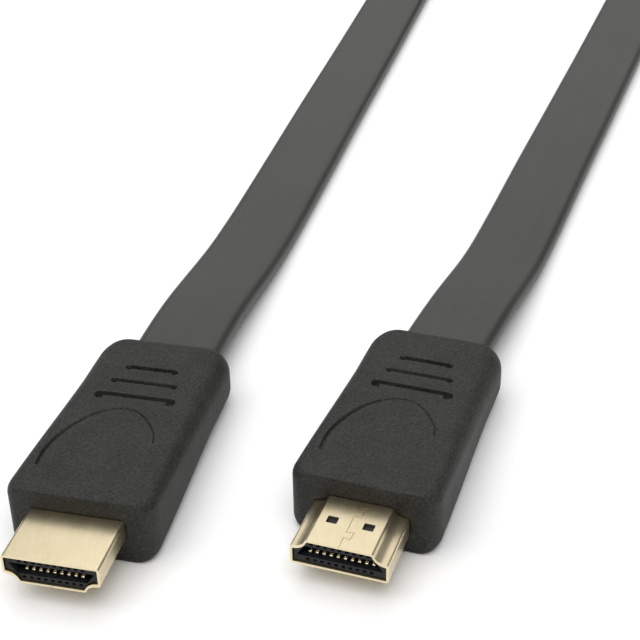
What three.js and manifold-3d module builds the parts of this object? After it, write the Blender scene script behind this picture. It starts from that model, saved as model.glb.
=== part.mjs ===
// A flat HDMI cable: two moulded plugs with gold-plated shells, joined by a ribbon cord whose
// spare length is wound into a coil behind them. Millimetres, +Z up, the plugs point to -Y.

import * as THREE from 'three';
import { mergeVertices } from 'three/addons/utils/BufferGeometryUtils.js';
import Module from 'manifold-3d';

const wasm = await Module();
wasm.setup();

// Driving dimensions.

const SHELL = {
  width: 13.9, // outside, across the wide face
  height: 4.45,
  sheet: 0.35,
  exposed: 9.95, // from the moulding's front face to the mouth
  seated: 6, // length held inside the moulding
  narrowWidth: 9.8,
  sideHeight: 2.65, // from the wide face down to the shoulder
  cornerRadius: 0.5,
};
const WINDOW = { width: 1.55, length: 1.4, spread: 5.16, fromMoulding: 4.87 };

const INSULATOR = {
  clearance: 0.08, // to the shell's inner face
  recess: 0.35, // behind the shell's mouth
  slotHeight: 1.7,
  slotTopWidth: 12.2,
  slotBottomWidth: 9.9,
  slotDepth: 9,
  back: 5.4, // where it ends inside the moulding
  holeWidth: 0.52,
  holeHeight: 0.46,
  holeRim: 0.26, // wall left between a hole and the slot
  holeDepth: 1.4,
};

const CONTACT = {
  pitch: 1,
  wideCount: 10,
  narrowCount: 9,
  width: 0.46,
  thickness: 0.18,
  clearance: 0.04, // to the insulator's wall
  frontGap: 0.9, // from the insulator's front face
  length: 6.4,
  bulge: 0.42, // how far its nose rises into the slot
};

const MOULDING = {
  length: 41.1,
  frontWidth: 21.8,
  waistWidth: 21.3,
  shoulderWidth: 21.4,
  frontHeight: 10.4,
  rearHeight: 8.5,
  noseRadius: 3, // plan corners of the front face
  noseDraw: 0.62, // share of that radius by which the front face is narrower on each side
  shoulderRadius: 4.3, // plan corners of the rear end
  shoulderDraw: 0.66, // share of that radius by which the rear end is narrower on each side
  rearRound: 1.6, // how far the rear end rounds down
  frontEdge: 1.7, // radius of the long edges at the front
  rearEdge: 3.1, // radius of the long edges at the waist
  flareEnd: 6,
  waistAt: 29,
  shoulderAt: 34.6,
  seat: 0.12, // clearance around the shell and the cord
};

const SLOTS = {
  ends: [8.1, 10.2, 12.3], // lengths, rear to front
  first: 32.5, // distance of the rear slot from the front face
  spacing: 3.85,
  width: 0.9,
  depth: 0.65,
  hook: 1.5, // how far the front slot's ends turn back inwards
};

const CORD = { width: 14.2, thickness: 3, seated: 7.5, step: 9, gap: 0.35 };

const COIL = {
  centre: [46.53, 310.88],
  innerRadius: 61.3, // middle of the innermost turn
  pitch: 5,
  startAngle: 8, // degrees, where the lead from plug A joins
  endAngle: -1098, // degrees, three turns on, where the lead to plug B leaves
  southLift: 3.5, // the coil rests on its own lead at the front
  northLift: 1.3, // and on the ties at the back
};

const TIE = { width: 12, thickness: 1, clearance: 0.35, angles: [62, 150] };

const PLUGS = {
  a: { at: [-24.67, -17.12], yaw: 10.4, flipped: false }, // wide face of the shell up
  b: { at: [14.23, -13.52], yaw: 16.2, flipped: true }, // narrow face of the shell up
};

// Rows of the two leads: x, y, height of the lowest edge, roll of the ribbon in degrees.

const LEAD_A = [
  [-18.6, 15.93, 2.92, 0],
  [-17.25, 23.31, 2.75, 0],
  [-14.37, 37.78, 2.35, 0],
  [-9.17, 59.68, 0.55, 0],
  [-5.57, 76.28, 0, 0],
  [-2.07, 92.88, 0, 0],
  [3.43, 119.28, 0, 0],
  [9.73, 148.68, 0, 0],
  [17.93, 187.78, 0, 0],
  [22.73, 211.28, 0, 0],
  [27.73, 234.78, 0, 0],
  [31.33, 251.38, 0, 0],
  [34.43, 265.98, 0, 18],
  [37.53, 280.68, 0, 46],
  [40.73, 295.38, 0, 72],
  [43.63, 309.08, 0, 88],
  [46.23, 321.48, 0, 90],
  [50.33, 331.58, 0.1, 90],
  [57.53, 339.58, 0.3, 90],
  [67.13, 344.58, 0.6, 90],
  [77.73, 346.08, 1.0, 90],
  [88.33, 343.78, 1.4, 90],
  [97.33, 337.68, 1.8, 90],
];

const LEAD_B = [
  [23.6, 18.75, 2.92, 0],
  [25.7, 25.95, 2.75, 0],
  [30.83, 40.18, 2.35, 0],
  [37.13, 57.68, 0.55, 0],
  [42.53, 74.78, 0, 0],
  [47.83, 91.98, 0, 0],
  [56.23, 118.58, 0, 0],
  [65.83, 149.08, 0, 0],
  [78.23, 188.98, 0, 0],
  [82.33, 201.38, 0, 14],
  [86.73, 213.98, 0, 42],
  [91.73, 226.98, 0.1, 70],
  [98.03, 240.58, 0.4, 88],
  [105.13, 256.18, 1.1, 90],
];

// Colours and finishes.

const finish = (color, roughness, metalness) =>
  new THREE.MeshStandardMaterial({ color, roughness, metalness });
const FINISH = {
  moulding: () => finish(0x2b2c28, 0.72, 0),
  gold: () => finish(0xc9b98a, 0.32, 1),
  insulator: () => finish(0x26282b, 0.6, 0),
  cord: () => finish(0x3a3b36, 0.55, 0),
  tie: () => finish(0x1d1d1d, 0.85, 0),
};

// Solid helpers.

function toSolid(geometry) {
  const bare = geometry.clone();
  bare.deleteAttribute('normal');
  bare.deleteAttribute('uv');
  const merged = mergeVertices(bare, 1e-4);
  return new wasm.Manifold(new wasm.Mesh({
    numProp: 3,
    vertProperties: new Float32Array(merged.attributes.position.array),
    triVerts: new Uint32Array(merged.index.array),
  }));
}

function toGeometry(solid) {
  const mesh = solid.getMesh();
  const geometry = new THREE.BufferGeometry();
  geometry.setAttribute('position', new THREE.BufferAttribute(mesh.vertProperties, 3));
  geometry.setIndex(new THREE.BufferAttribute(mesh.triVerts, 1));
  geometry.computeVertexNormals();
  return geometry;
}

function cut(body, tools) {
  return tools.reduce((solid, tool) => solid.subtract(toSolid(tool)), toSolid(body));
}

function add(parent, name, geometry, material) {
  const mesh = new THREE.Mesh(geometry, material);
  mesh.name = name;
  parent.add(mesh);
  return mesh;
}

/** Stretches a plan shape along +Y from y0 to y1: the shape's x stays x, its y becomes z. */
function alongY(shape, y0, y1, curveSegments = 5) {
  const geometry = new THREE.ExtrudeGeometry(shape, {
    depth: y1 - y0, bevelEnabled: false, curveSegments,
  });
  geometry.rotateX(Math.PI / 2);
  return geometry.translate(0, y1, 0);
}

/** A box given by its lowest and highest corners. */
function block(low, high) {
  const size = high.map((value, k) => value - low[k]);
  return new THREE.BoxGeometry(...size)
    .translate(...low.map((value, k) => value + size[k] / 2));
}

/** Closes a row of equal rings into one solid, with a flat cap at each end. */
function skin(rings) {
  const count = rings[0].length;
  const points = rings.flat();
  const faces = [];
  for (let r = 0; r < rings.length - 1; r += 1) {
    for (let k = 0; k < count; k += 1) {
      const a = r * count + k;
      const b = r * count + ((k + 1) % count);
      faces.push(a, b, a + count, b, b + count, a + count);
    }
  }
  const last = (rings.length - 1) * count;
  for (let k = 1; k < count - 1; k += 1) {
    faces.push(0, k + 1, k, last, last + k, last + k + 1);
  }
  const geometry = new THREE.BufferGeometry();
  geometry.setAttribute('position', new THREE.Float32BufferAttribute(points.flat(), 3));
  geometry.setIndex(faces);
  geometry.computeVertexNormals();
  return geometry;
}

const MARGIN = 1; // how far a cutting body runs past the surface that it cuts
const SHOULDER_STEPS = 6; // sections round the moulding's rear corners

// Shell and what is in it, with the mouth towards -Y and the wide face up.

/** The shell's outline in x and z, drawn inwards by a distance. */
function shellOutline(inset) {
  const half = SHELL.width / 2 - inset;
  const top = SHELL.height / 2 - inset;
  const bottom = -top;
  const narrow = SHELL.narrowWidth / 2 - inset * 0.8;
  const side = SHELL.height / 2 - SHELL.sideHeight + inset * 0.45;
  const round = Math.max(SHELL.cornerRadius - inset, 0.12);
  const shape = new THREE.Shape();
  shape.moveTo(half - round, top);
  shape.lineTo(-half + round, top);
  shape.quadraticCurveTo(-half, top, -half, top - round);
  shape.lineTo(-half, side);
  shape.quadraticCurveTo(-half, side - round, -half + round * 0.9, side - round);
  shape.quadraticCurveTo(-narrow - 0.5, side - round - 0.1, -narrow, bottom + round);
  shape.quadraticCurveTo(-narrow + 0.12, bottom, -narrow + round, bottom);
  shape.lineTo(narrow - round, bottom);
  shape.quadraticCurveTo(narrow - 0.12, bottom, narrow, bottom + round);
  shape.quadraticCurveTo(narrow + 0.5, side - round - 0.1, half - round * 0.9, side - round);
  shape.quadraticCurveTo(half, side - round, half, side);
  shape.lineTo(half, top - round);
  shape.quadraticCurveTo(half, top, half - round, top);
  return shape;
}

function shellGeometry() {
  const outline = shellOutline(0);
  outline.holes.push(shellOutline(SHELL.sheet));
  const tube = alongY(outline, -SHELL.exposed, SHELL.seated);
  const windows = [-1, 1].map((side) => {
    const x = (side * WINDOW.spread) / 2;
    const y = -WINDOW.fromMoulding;
    return block(
      [x - WINDOW.width / 2, y - WINDOW.length / 2, -SHELL.height / 2 - MARGIN],
      [x + WINDOW.width / 2, y + WINDOW.length / 2, -SHELL.height / 2 + SHELL.sheet + 0.04],
    );
  });
  return toGeometry(cut(tube, windows));
}

const insulatorFront = () => -SHELL.exposed + INSULATOR.recess;
const contactRow = (count) =>
  Array.from({ length: count }, (_, k) => (k - (count - 1) / 2) * CONTACT.pitch);

function insulatorGeometry() {
  const front = insulatorFront();
  const body = alongY(shellOutline(SHELL.sheet + INSULATOR.clearance), front, INSULATOR.back);
  const half = INSULATOR.slotHeight / 2;
  const slot = new THREE.Shape([
    new THREE.Vector2(INSULATOR.slotTopWidth / 2, half),
    new THREE.Vector2(-INSULATOR.slotTopWidth / 2, half),
    new THREE.Vector2(-INSULATOR.slotBottomWidth / 2, -half),
    new THREE.Vector2(INSULATOR.slotBottomWidth / 2, -half),
  ]);
  const holes = [[1, CONTACT.wideCount], [-1, CONTACT.narrowCount]].flatMap(([side, count]) =>
    contactRow(count).map((x) => {
      const edges = [half + INSULATOR.holeRim, half + INSULATOR.holeRim + INSULATOR.holeHeight];
      const z = edges.map((edge) => edge * side).sort((a, b) => a - b);
      return block(
        [x - INSULATOR.holeWidth / 2, front - MARGIN, z[0]],
        [x + INSULATOR.holeWidth / 2, front + INSULATOR.holeDepth, z[1]],
      );
    }));
  const tools = [alongY(slot, front - MARGIN, front + INSULATOR.slotDepth), ...holes];
  return toGeometry(cut(body, tools));
}

/** One contact on the slot's upper wall: a strip whose nose dips into the slot. */
function contactGeometry() {
  const root = INSULATOR.slotHeight / 2 - CONTACT.clearance;
  const { thickness: t, bulge, length } = CONTACT;
  const shape = new THREE.Shape([
    [0, 0], [0.5, -bulge + t], [1.1, -bulge + t], [1.9, -t * 0.2], [length, 0],
    [length, -t], [1.9, -t * 1.4], [1.2, -bulge], [0.4, -bulge], [-0.15, -t],
  ].map(([y, z]) => new THREE.Vector2(y, z)));
  const geometry = new THREE.ExtrudeGeometry(shape, { depth: CONTACT.width, bevelEnabled: false });
  geometry.translate(0, 0, -CONTACT.width / 2);
  const [x, y, z] = [[1, 0, 0], [0, 1, 0], [0, 0, 1]].map((axis) => new THREE.Vector3(...axis));
  geometry.applyMatrix4(new THREE.Matrix4().makeBasis(y, z, x));
  return geometry.translate(0, insulatorFront() + CONTACT.frontGap, root);
}

function addContacts(parent, prefix) {
  let number = 1;
  for (const [side, count] of [[1, CONTACT.wideCount], [-1, CONTACT.narrowCount]]) {
    for (const x of contactRow(count)) {
      const name = `${prefix}_contact_${String(number).padStart(2, '0')}`;
      const contact = add(parent, name, contactGeometry(), FINISH.gold());
      contact.rotation.y = side > 0 ? 0 : Math.PI;
      contact.position.x = x;
      number += 1;
    }
  }
}

// Moulding.

const mix = (from, to, share) => from + (to - from) * share;
const ease = (share) => {
  const s = Math.min(Math.max(share, 0), 1);
  return s * s * (3 - 2 * s);
};
const roundOff = (radius, depth) => radius - Math.sqrt(Math.max(radius ** 2 - depth ** 2, 0));

function halfWidthAt(y) {
  const m = MOULDING;
  const body = y < m.waistAt
    ? mix(m.frontWidth, m.waistWidth, ease((y - m.flareEnd) / (m.waistAt - m.flareEnd)))
    : mix(m.waistWidth, m.shoulderWidth, ease((y - m.waistAt) / (m.shoulderAt - m.waistAt)));
  const nose = roundOff(m.noseRadius, Math.max(m.noseRadius - y, 0));
  const rear = roundOff(m.shoulderRadius, Math.max(y - m.length + m.shoulderRadius, 0));
  return body / 2 - nose * m.noseDraw - rear * m.shoulderDraw;
}

function halfHeightAt(y) {
  const m = MOULDING;
  const rear = roundOff(m.rearRound, Math.max(y - m.length + m.rearRound, 0));
  return mix(m.frontHeight, m.rearHeight, y / m.length) / 2 - rear * 0.75;
}

const edgeRadiusAt = (y) =>
  mix(MOULDING.frontEdge, MOULDING.rearEdge, Math.min(y / MOULDING.waistAt, 1));

/** A rounded rectangle of points round the plug's axis at a distance from its front face. */
function mouldingRing(y, steps = 5) {
  const w = halfWidthAt(y);
  const h = halfHeightAt(y);
  const r = edgeRadiusAt(y);
  const ring = [];
  for (const [sx, sz, from] of [[1, 1, 0], [-1, 1, 90], [-1, -1, 180], [1, -1, 270]]) {
    for (let k = 0; k <= steps; k += 1) {
      const angle = THREE.MathUtils.degToRad(from + (90 * k) / steps);
      ring.push([sx * (w - r) + r * Math.cos(angle), y, sz * (h - r) + r * Math.sin(angle)]);
    }
  }
  return ring.reverse();
}

function mouldingStations() {
  const m = MOULDING;
  const nose = [0, 0.08, 0.25, 0.55, 1].map((share) => share * m.noseRadius);
  const waist = [0.15, 0.35, 0.5, 0.65, 0.8, 1].map((s) => mix(m.flareEnd, m.waistAt, s));
  const hips = [0.35, 0.7, 1].map((share) => mix(m.waistAt, m.shoulderAt, share));
  const rear = Array.from({ length: SHOULDER_STEPS + 1 }, (_, k) =>
    m.length - m.shoulderRadius * (1 - Math.sin((k / SHOULDER_STEPS) * (Math.PI / 2))));
  return [...nose, m.flareEnd, ...waist, ...hips, ...rear];
}

/** A straight groove with round ends, cut down from the given height. */
function grooveGeometry(x0, x1, y, width, top, depth) {
  const r = width / 2;
  const shape = new THREE.Shape();
  shape.absarc(x1 - r, y, r, -Math.PI / 2, Math.PI / 2);
  shape.absarc(x0 + r, y, r, Math.PI / 2, Math.PI * 1.5);
  const geometry = new THREE.ExtrudeGeometry(shape, {
    depth: depth + MARGIN, bevelEnabled: false, curveSegments: 4,
  });
  return geometry.translate(0, 0, top - depth);
}

function slotGeometries() {
  const s = SLOTS;
  const grooves = [];
  s.ends.forEach((length, row) => {
    const y = s.first - row * s.spacing;
    const top = halfHeightAt(y);
    grooves.push(grooveGeometry(-length / 2, length / 2, y, s.width, top, s.depth));
    if (row === s.ends.length - 1) {
      for (const side of [-1, 1]) {
        const outer = (side * length) / 2;
        const inner = side * (length / 2 - s.hook);
        const span = [Math.min(outer, inner), Math.max(outer, inner)];
        grooves.push(grooveGeometry(...span, y - s.width * 0.6, s.width, top, s.depth));
      }
    }
  });
  return grooves;
}

/** The cord's outline across its path: a ribbon with round edges. */
function cordOutline(inset = 0, steps = 5) {
  const r = CORD.thickness / 2 - inset;
  const reach = (CORD.width - CORD.thickness) / 2;
  const ring = [];
  for (const [side, from] of [[1, -90], [-1, 90]]) {
    for (let k = 0; k <= steps; k += 1) {
      const angle = THREE.MathUtils.degToRad(from + (180 * k) / steps);
      ring.push([side * reach + r * Math.cos(angle), r * Math.sin(angle)]);
    }
  }
  return ring;
}

function mouldingGeometry() {
  const m = MOULDING;
  const body = skin(mouldingStations().map((y) => mouldingRing(y)));
  const shellSeat = alongY(shellOutline(-m.seat), -MARGIN, SHELL.seated + m.seat);
  const cordSeat = new THREE.Shape(
    cordOutline(-m.seat).map(([x, z]) => new THREE.Vector2(x, z)));
  const cordPocket = alongY(cordSeat, m.length - CORD.seated - CORD.gap, m.length + MARGIN);
  const upper = slotGeometries();
  const lower = slotGeometries().map((groove) => groove.rotateY(Math.PI));
  return toGeometry(cut(body, [shellSeat, cordPocket, ...upper, ...lower]));
}

// Plugs.

/** Half the angle between the moulding's flat faces: it lies on one of them. */
const mouldingTilt = () =>
  Math.atan((MOULDING.frontHeight - MOULDING.rearHeight) / 2 / MOULDING.length);

function plug(name, { at, yaw, flipped }) {
  const tilt = mouldingTilt();
  const placed = new THREE.Group();
  placed.position.set(...at, (MOULDING.frontHeight / 2) * Math.cos(tilt));
  placed.rotation.z = -THREE.MathUtils.degToRad(yaw);
  const lying = new THREE.Group();
  lying.rotation.x = -tilt;
  placed.add(lying);
  const body = new THREE.Group();
  body.rotation.y = flipped ? Math.PI : 0;
  lying.add(body);
  add(body, `${name}_moulding`, mouldingGeometry(), FINISH.moulding());
  add(body, `${name}_shell`, shellGeometry(), FINISH.gold());
  add(body, `${name}_insulator`, insulatorGeometry(), FINISH.insulator());
  addContacts(body, name);
  return placed;
}

// Cord.

/** Height of the ribbon's middle when its lowest edge is lifted and it is rolled by an angle. */
const middleHeight = (lift, roll) => lift + CORD.thickness / 2
  + ((CORD.width - CORD.thickness) / 2) * Math.abs(Math.sin(THREE.MathUtils.degToRad(roll)));

/** A ribbon bent along a lead: a straight bar of cross sections, each one set on the path. */
function leadGeometry(rows) {
  const curve = (values) => new THREE.CatmullRomCurve3(
    values.map((value) => new THREE.Vector3(...value)), false, 'centripetal');
  const lowest = curve(rows.map(([x, y, lift]) => [x, y, lift]));
  const rolls = curve(rows.map(([x, y, , roll]) => [x, y, roll]));
  lowest.arcLengthDivisions = 1200;
  const steps = Math.round(lowest.getLength() / CORD.step);
  const stations = Array.from({ length: steps + 1 }, (_, k) => {
    const t = lowest.getUtoTmapping(k / steps);
    const point = lowest.getPoint(t);
    const roll = THREE.MathUtils.clamp(rolls.getPoint(t).z, 0, 90);
    point.z = middleHeight(Math.max(point.z, 0), roll);
    return { point, roll: THREE.MathUtils.degToRad(roll) };
  });
  const outline = cordOutline();
  const up = new THREE.Vector3(0, 0, 1);
  const rings = stations.map(({ point, roll }, k) => {
    const ahead = stations[Math.min(k + 1, steps)].point;
    const behind = stations[Math.max(k - 1, 0)].point;
    const along = ahead.clone().sub(behind).normalize();
    const right = new THREE.Vector3().crossVectors(along, up).normalize();
    const over = new THREE.Vector3().crossVectors(right, along).normalize();
    const wide = right.clone().multiplyScalar(Math.cos(roll))
      .addScaledVector(over, Math.sin(roll));
    const thick = right.clone().multiplyScalar(-Math.sin(roll))
      .addScaledVector(over, Math.cos(roll));
    return outline.map(([x, z]) =>
      point.clone().addScaledVector(wide, x).addScaledVector(thick, z).toArray());
  });
  return skin(rings.map((ring) => ring.reverse()));
}

/** The wound turns as one ring, tipped so that it lies on its own lead and on the ties. */
function coilGeometry() {
  const turns = (COIL.startAngle - COIL.endAngle) / 360;
  const half = CORD.thickness / 2;
  const inner = COIL.innerRadius - half;
  const outer = COIL.innerRadius + turns * COIL.pitch + half;
  const round = 1;
  const profile = [
    [inner, round], [inner + round, 0], [outer - round, 0], [outer, round],
    [outer, CORD.width - round], [outer - round, CORD.width], [inner + round, CORD.width],
    [inner, CORD.width - round], [inner, round],
  ].map(([r, z]) => new THREE.Vector2(r, z));
  const ring = new THREE.LatheGeometry(profile, 72);
  ring.rotateX(Math.PI / 2);
  return { ring, inner, outer };
}

function coil() {
  const { ring, inner, outer } = coilGeometry();
  const tip = -Math.atan((COIL.southLift - COIL.northLift) / (2 * outer));
  const placed = new THREE.Group();
  placed.position.set(...COIL.centre, (COIL.southLift + COIL.northLift) / 2);
  const tipped = new THREE.Group();
  tipped.rotation.x = tip;
  placed.add(tipped);
  add(tipped, 'cord_coil', ring, FINISH.cord());
  TIE.angles.forEach((angle, k) => {
    add(tipped, `coil_tie_${k + 1}`, tieGeometry(inner, outer, angle), FINISH.tie());
  });
  return placed;
}

/** A strap round the coil's bundle of turns, at one angle of the coil. */
function tieGeometry(inner, outer, angle) {
  const c = TIE.clearance;
  const t = TIE.thickness;
  const sag = inner - Math.sqrt(inner ** 2 - (TIE.width / 2) ** 2);
  const frame = (gap) => [
    [inner - sag - gap, -gap], [outer + gap, -gap],
    [outer + gap, CORD.width + gap], [inner - sag - gap, CORD.width + gap],
  ].map(([x, z]) => new THREE.Vector2(x, z));
  const shape = new THREE.Shape(frame(c + t));
  shape.holes.push(new THREE.Path(frame(c)));
  const strap = alongY(shape, -TIE.width / 2, TIE.width / 2);
  return strap.rotateZ(THREE.MathUtils.degToRad(angle));
}

// The whole cable.

const cable = new THREE.Group();
cable.name = 'flat_hdmi_cable';
cable.add(plug('plug_a', PLUGS.a), plug('plug_b', PLUGS.b));
add(cable, 'cord_from_plug_a', leadGeometry(LEAD_A), FINISH.cord());
add(cable, 'cord_from_plug_b', leadGeometry(LEAD_B), FINISH.cord());
cable.add(coil());

export default cable;
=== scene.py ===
"""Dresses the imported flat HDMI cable: its ribbon cord, two plugs and the ties of its coil.

Lengths in the classes are millimetres, because the plug's drawing is in millimetres. They become
metres where a mesh is made.
"""

import logging
import math
from dataclasses import dataclass, field
from enum import Enum
from typing import Iterable, Optional, Sequence

import bmesh
import bpy
import numpy as np
from mathutils import Matrix, Vector


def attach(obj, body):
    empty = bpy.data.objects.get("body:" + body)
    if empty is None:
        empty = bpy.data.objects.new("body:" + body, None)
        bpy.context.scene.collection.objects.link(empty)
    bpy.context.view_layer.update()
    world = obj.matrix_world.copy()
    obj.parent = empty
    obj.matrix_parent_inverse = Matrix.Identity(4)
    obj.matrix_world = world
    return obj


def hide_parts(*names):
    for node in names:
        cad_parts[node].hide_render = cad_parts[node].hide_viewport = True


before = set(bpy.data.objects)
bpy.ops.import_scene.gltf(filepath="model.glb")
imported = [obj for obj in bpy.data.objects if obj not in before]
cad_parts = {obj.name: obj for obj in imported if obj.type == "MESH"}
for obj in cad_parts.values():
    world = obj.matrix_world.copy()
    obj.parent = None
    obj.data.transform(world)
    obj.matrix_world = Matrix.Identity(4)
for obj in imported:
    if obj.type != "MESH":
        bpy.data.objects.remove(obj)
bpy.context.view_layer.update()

LOG = logging.getLogger("flat_hdmi_cable")
MM = 0.001
BODY = "root"

Array = np.ndarray


class FaceUp(Enum):
    """Which face of the plug's shell is up."""

    WIDE = "wide"
    NARROW = "narrow"


class Side(Enum):
    """A wall of the shell, with the sign of its height when the wide face is up."""

    WIDE = 1
    NARROW = -1


# Numbers and curves.


def smooth_step(low: float, high: float, value: Array) -> Array:
    """Eases from 0 at one value to 1 at another.

    Args:
        low: Value where the result leaves 0.
        high: Value where the result reaches 1.
        value: The values to ease.

    Returns:
        Numbers from 0 to 1.
    """
    share = np.clip((np.asarray(value, float) - low) / (high - low), 0.0, 1.0)
    return share * share * (3.0 - 2.0 * share)


def round_off(radius: float, depth: Array) -> Array:
    """How far a quarter circle has fallen away at a depth before its end.

    Args:
        radius: The circle's radius.
        depth: Distance past the circle's start, 0 or less before it.

    Returns:
        The fall, from 0 to the radius.
    """
    d = np.clip(depth, 0.0, radius)
    return radius - np.sqrt(np.maximum(radius**2 - d**2, 0.0))


def spline(points: Array, step: float) -> Array:
    """Samples a centripetal Catmull-Rom curve through points of any dimension.

    Args:
        points: The rows that the curve passes through. The first three columns set its speed.
        step: Wanted distance between samples.

    Returns:
        The samples, with the first and the last point among them.
    """
    p = np.asarray(points, float)
    ends = np.vstack([2 * p[0] - p[1], p, 2 * p[-1] - p[-2]])
    out = []
    for k in range(len(p) - 1):
        a, b, c, d = ends[k : k + 4]
        knots = np.cumsum([0.0] + [np.linalg.norm((v - u)[:3]) ** 0.5
                                   for u, v in ((a, b), (b, c), (c, d))])
        count = max(int(round(np.linalg.norm((c - b)[:3]) / step)), 1)
        t = np.linspace(knots[1], knots[2], count, endpoint=False)[:, None]
        t0, t1, t2, t3 = knots
        ab = (t1 - t) / (t1 - t0) * a + (t - t0) / (t1 - t0) * b
        bc = (t2 - t) / (t2 - t1) * b + (t - t1) / (t2 - t1) * c
        cd = (t3 - t) / (t3 - t2) * c + (t - t2) / (t3 - t2) * d
        abc = (t2 - t) / (t2 - t0) * ab + (t - t0) / (t2 - t0) * bc
        bcd = (t3 - t) / (t3 - t1) * bc + (t - t1) / (t3 - t1) * cd
        out.append((t2 - t) / (t2 - t1) * abc + (t - t1) / (t2 - t1) * bcd)
    return np.vstack([*out, p[-1:]])


def path_distance(x: Array, y: Array, path: Array) -> tuple[Array, Array]:
    """Distance from points to a polyline in the same plane.

    Args:
        x: Points' first coordinates.
        y: Points' second coordinates.
        path: Rows of two coordinates.

    Returns:
        The distance of each point, and its place along the polyline from 0 to 1.
    """
    best = np.full(x.shape, np.inf)
    place = np.zeros(x.shape)
    spans = np.linalg.norm(np.diff(path, axis=0), axis=1)
    marks = np.concatenate([[0.0], np.cumsum(spans)]) / spans.sum()
    for k, (a, b) in enumerate(zip(path[:-1], path[1:])):
        along = b - a
        share = np.clip(((x - a[0]) * along[0] + (y - a[1]) * along[1]) / (along @ along), 0, 1)
        gap = np.hypot(x - a[0] - share * along[0], y - a[1] - share * along[1])
        nearer = gap < best
        best = np.where(nearer, gap, best)
        place = np.where(nearer, marks[k] + share * (marks[k + 1] - marks[k]), place)
    return best, place


# Node trees.


class Wiring:
    """Adds and joins nodes in one node tree."""

    def __init__(self, tree: bpy.types.NodeTree) -> None:
        """Starts with the tree that the nodes go into."""
        self.tree = tree

    def node(self, kind: str, values: Optional[dict] = None, **settings: object) -> bpy.types.Node:
        """Adds a node.

        Args:
            kind: The node's type name.
            values: Input name or number to a value, or to a socket that feeds it.
            settings: Properties of the node.

        Returns:
            The new node.
        """
        made = self.tree.nodes.new(kind)
        for key, value in settings.items():
            setattr(made, key, value)
        self.feed(made, values or {})
        return made

    def feed(self, node: bpy.types.Node, values: dict) -> None:
        """Sets or joins a node's inputs.

        Args:
            node: The node.
            values: Input name or number to a value, or to a socket that feeds it.
        """
        for key, value in values.items():
            if isinstance(value, bpy.types.NodeSocket):
                self.tree.links.new(value, node.inputs[key])
            else:
                node.inputs[key].default_value = value

    def math(self, operation: str, *values: object) -> bpy.types.NodeSocket:
        """Adds a math node and returns its result."""
        made = self.node("ShaderNodeMath", dict(enumerate(values)), operation=operation)
        return made.outputs[0]

    def blend(self, share: object, first: object, second: object) -> bpy.types.NodeSocket:
        """Mixes two colours by a share and returns the result."""
        made = self.node("ShaderNodeMix", {0: share, 6: first, 7: second}, data_type="RGBA")
        return made.outputs[2]

    def span(self, value: object, low: float, high: float) -> bpy.types.NodeSocket:
        """Maps 0..1 onto low..high and returns the result."""
        made = self.node("ShaderNodeMapRange", {"Value": value, "To Min": low, "To Max": high})
        return made.outputs[0]


# Meshes.


def loop_faces(rows: int, count: int) -> list[tuple[int, ...]]:
    """Faces between closed rings of points that follow each other.

    Args:
        rows: Number of rings.
        count: Points in each ring.

    Returns:
        Quads, as rows of point numbers.
    """
    faces = []
    for r in range(rows - 1):
        a, b = r * count, (r + 1) * count
        faces += [(a + k, a + (k + 1) % count, b + (k + 1) % count, b + k)
                  for k in range(count)]
    return faces


def face_outwards(mesh: bpy.types.Mesh) -> None:
    """Turns the faces of a closed mesh outwards."""
    shape = bmesh.new()
    shape.from_mesh(mesh)
    bmesh.ops.recalc_face_normals(shape, faces=shape.faces)
    shape.to_mesh(mesh)
    shape.free()


def make_wire(name: str, points: Array, closed: bool, **values: Array) -> bpy.types.Object:
    """Makes a row of edges with number attributes, for a Geometry Nodes tree to read.

    Args:
        name: The object's name.
        points: Rows of x, y and z in millimetres.
        closed: Whether the last point joins the first.
        values: Attribute names and one number for each point.

    Returns:
        The wire as an object.
    """
    count = len(points)
    edges = [(k, (k + 1) % count) for k in range(count if closed else count - 1)]
    mesh = bpy.data.meshes.new(name)
    mesh.from_pydata((np.asarray(points, float) * MM).tolist(), edges, [])
    for key, numbers in values.items():
        made = mesh.attributes.new(key, "FLOAT", "POINT")
        made.data.foreach_set("value", np.asarray(numbers, np.float32))
    wire = bpy.data.objects.new(name, mesh)
    bpy.context.scene.collection.objects.link(wire)
    return wire


def nodes_tree(name: str, inputs: dict[str, str]) -> tuple[bpy.types.NodeTree, Wiring]:
    """Makes a Geometry Nodes tree with named inputs and one geometry output.

    Args:
        name: The tree's name.
        inputs: Input names and the ends of their socket types.

    Returns:
        The tree and the wiring for its nodes.
    """
    tree = bpy.data.node_groups.new(name, "GeometryNodeTree")
    tree.interface.new_socket("Geometry", in_out="INPUT", socket_type="NodeSocketGeometry")
    for key, kind in inputs.items():
        tree.interface.new_socket(key, in_out="INPUT", socket_type=f"NodeSocket{kind}")
    tree.interface.new_socket("Geometry", in_out="OUTPUT", socket_type="NodeSocketGeometry")
    return tree, Wiring(tree)


def grow(piece: bpy.types.Object, tree: bpy.types.NodeTree, values: dict[str, object]) -> None:
    """Runs a Geometry Nodes tree on a piece and keeps the result as its mesh.

    Args:
        piece: The object.
        tree: The tree.
        values: Input names and what they are set to.
    """
    made = piece.modifiers.new(tree.name, "NODES")
    made.node_group = tree
    for item in tree.interface.items_tree:
        if item.in_out == "INPUT" and item.name in values:
            made[item.identifier] = values[item.name]
    piece.update_tag()
    settle(piece)


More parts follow.
